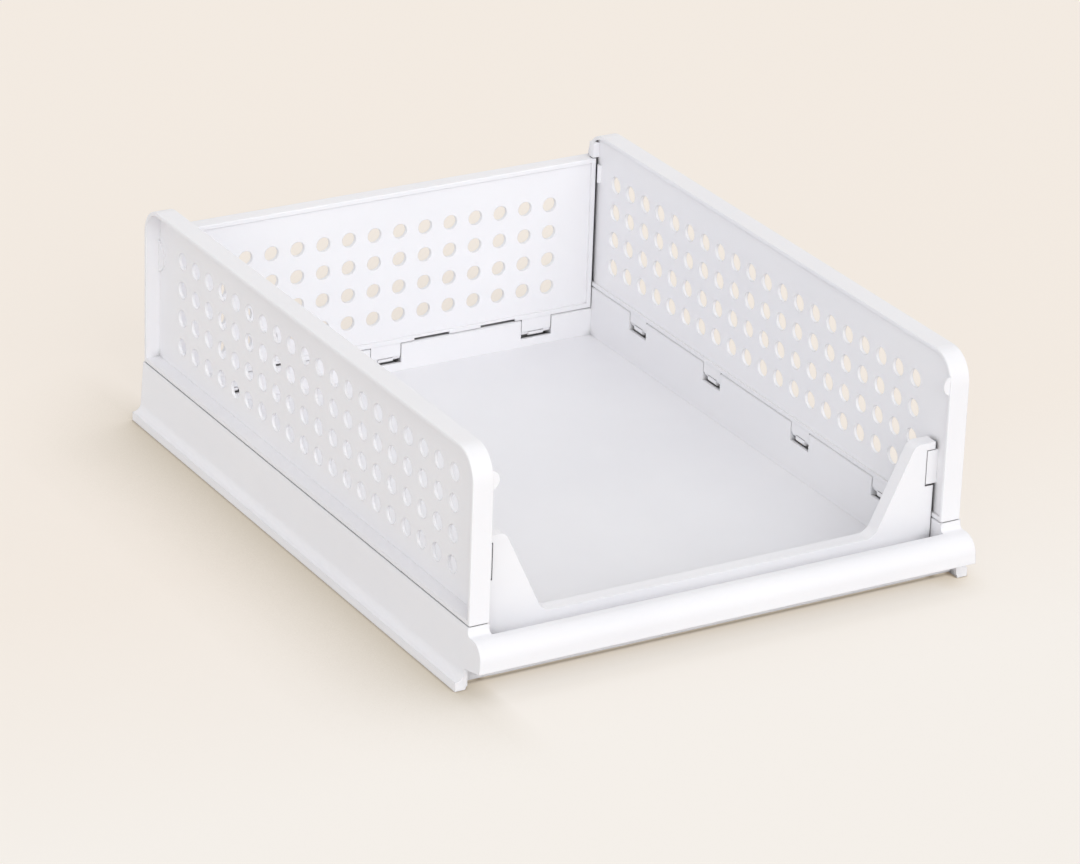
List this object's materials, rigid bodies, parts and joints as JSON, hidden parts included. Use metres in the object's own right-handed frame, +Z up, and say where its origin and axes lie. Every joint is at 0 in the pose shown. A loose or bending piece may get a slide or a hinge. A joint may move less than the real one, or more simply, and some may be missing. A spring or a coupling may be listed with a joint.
{
  "type": "pull-out organizer basket",
  "caption": "White perforated basket with a low front, a full-width pull bar, runners below and side, back and front panels hinged on a tray so that it folds flat.",
  "frame": {"origin": "middle of the ground under the basket", "axes": "+X right, +Y back, +Z up; the pull bar faces -Y"},
  "size_m": [0.342, 0.43, 0.142],
  "materials": {
    "tray_plastic": "satin white polypropylene",
    "panel_plastic": "satin white polypropylene",
    "pin_steel": "drawn steel wire"
  },
  "bodies": {
    "tray": {"base_tray": "tray_plastic", "left_side_panel": "panel_plastic", "right_side_panel": "panel_plastic", "left_hinge_pin_1": "pin_steel", "left_hinge_pin_2": "pin_steel", "left_hinge_pin_3": "pin_steel", "left_hinge_pin_4": "pin_steel", "right_hinge_pin_1": "pin_steel", "right_hinge_pin_2": "pin_steel", "right_hinge_pin_3": "pin_steel", "right_hinge_pin_4": "pin_steel", "front_hinge_pin_1": "pin_steel", "front_hinge_pin_2": "pin_steel", "front_hinge_pin_3": "pin_steel", "back_hinge_pin_1": "pin_steel", "back_hinge_pin_2": "pin_steel", "back_hinge_pin_3": "pin_steel"},
    "back": {"back_panel": "panel_plastic"},
    "front": {"front_panel": "panel_plastic"}
  },
  "joints": [
    {"name": "back_panel_fold", "type": "hinge", "parent": "tray", "child": "back", "pos_m": [0, 0.2066, 0.0142], "axis": [1, 0, 0], "range_deg": [0, 90]},
    {"name": "front_panel_fold", "type": "hinge", "parent": "tray", "child": "front", "pos_m": [0, -0.1831, 0.0142], "axis": [-1, 0, 0], "range_deg": [0, 90]}
  ]
}
